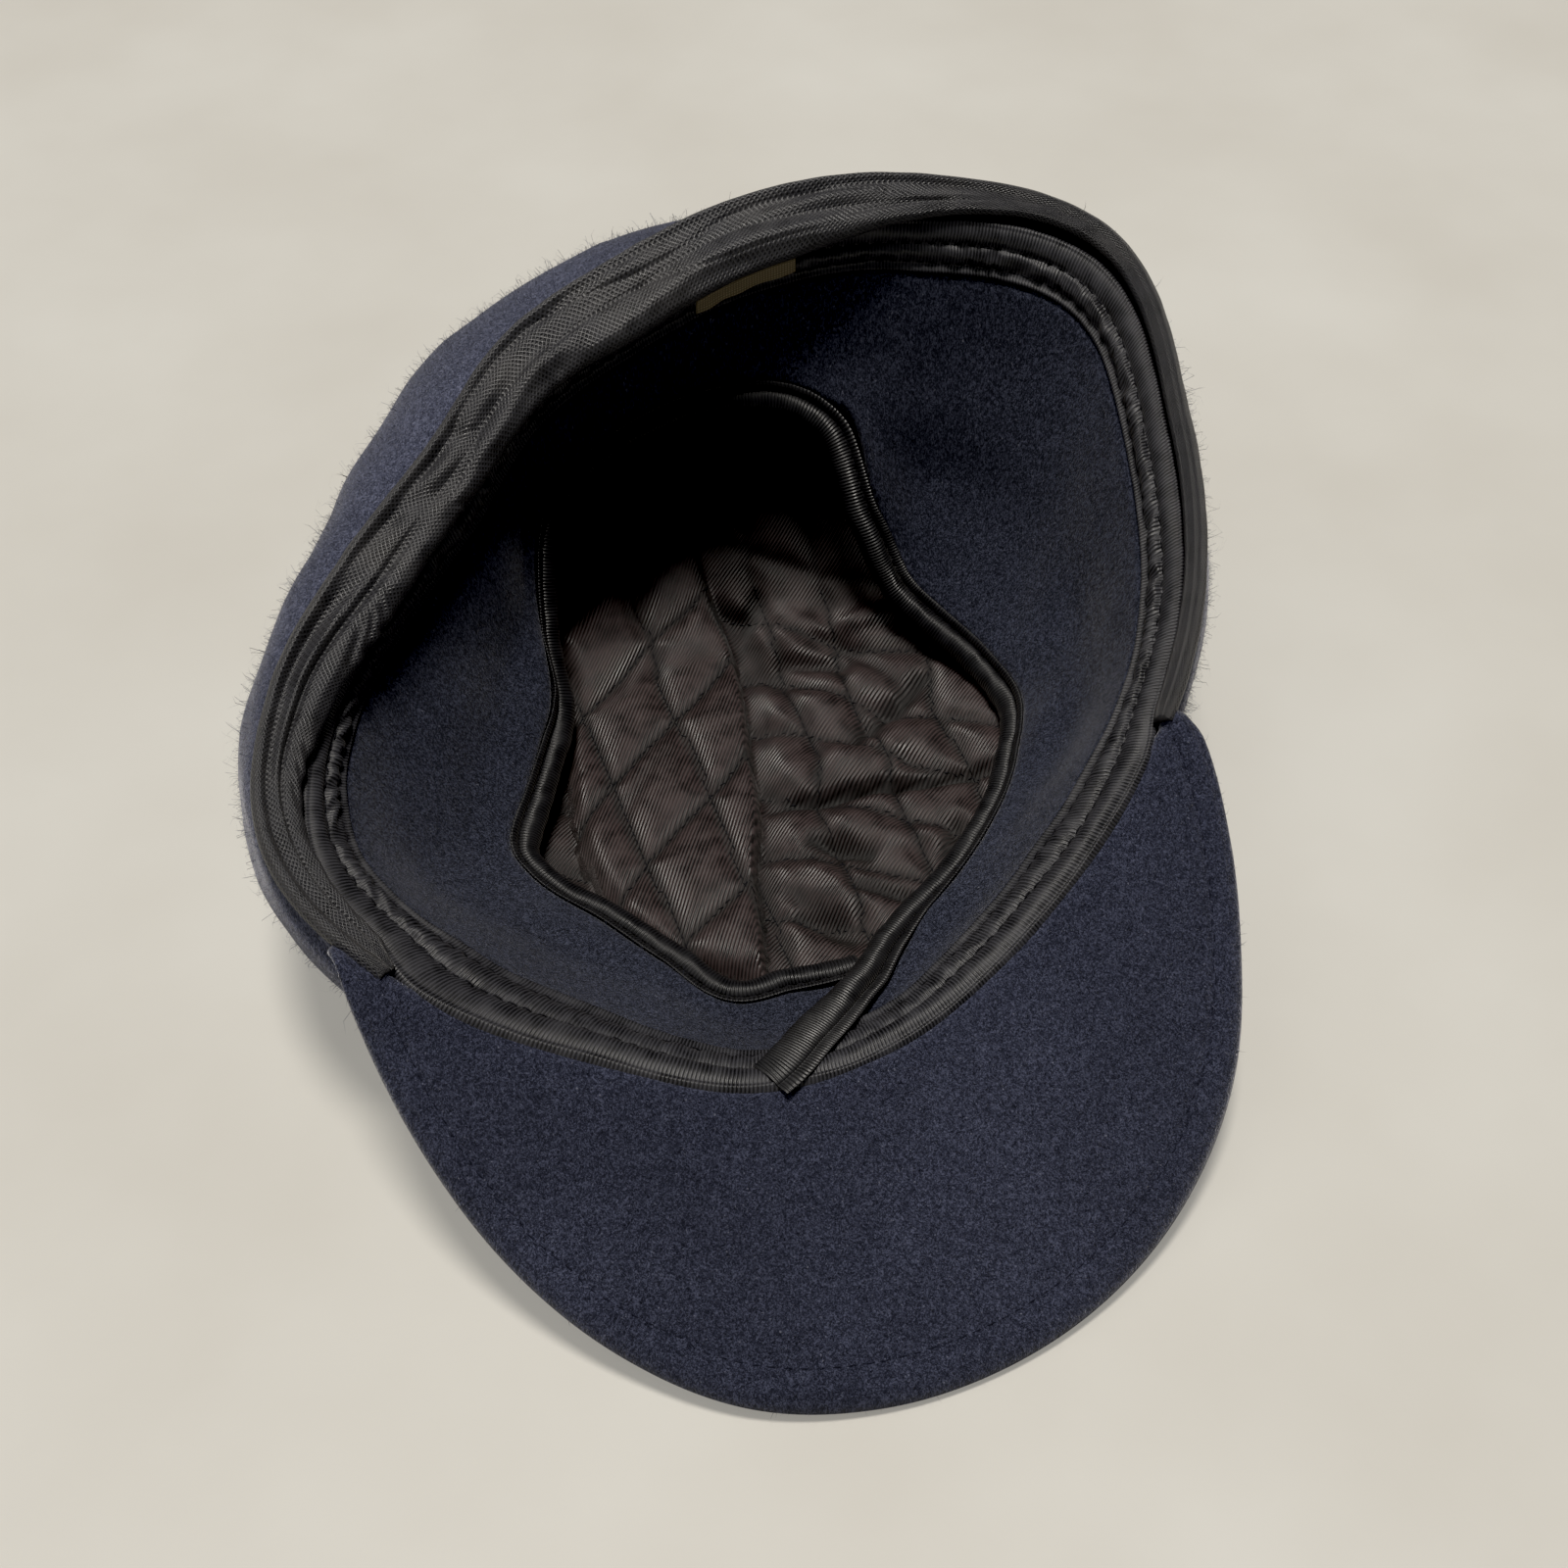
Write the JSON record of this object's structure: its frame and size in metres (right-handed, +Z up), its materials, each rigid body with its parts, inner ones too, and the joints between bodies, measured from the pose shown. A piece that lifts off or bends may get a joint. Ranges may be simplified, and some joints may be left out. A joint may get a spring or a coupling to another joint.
{
  "type": "earflap cap",
  "caption": "Soft wool cap with a stiff peak, a quilted lining and an earflap folded up inside, lying on its crown.",
  "frame": {"origin": "middle of the flat patch on which the upturned crown rests", "axes": "+Z up out of the head hollow, -Y towards the peak, +X to the wearer's right as the cap lies upside down"},
  "size_m": [0.205, 0.229, 0.1029],
  "materials": {
    "wool": "napped navy wool melton",
    "quilted_satin": "quilted brown-black satin",
    "twill_tape": "black twill tape",
    "satin": "black satin, soft sheen",
    "woven_label": "tan woven label"
  },
  "bodies": {
    "root": {"crown_shell": "wool", "crown_lining": "quilted_satin", "peak": "wool", "inner_band": "twill_tape", "rim_binding": "satin", "earflap": "wool", "flap_binding": "satin", "label": "woven_label"}
  },
  "joints": []
}
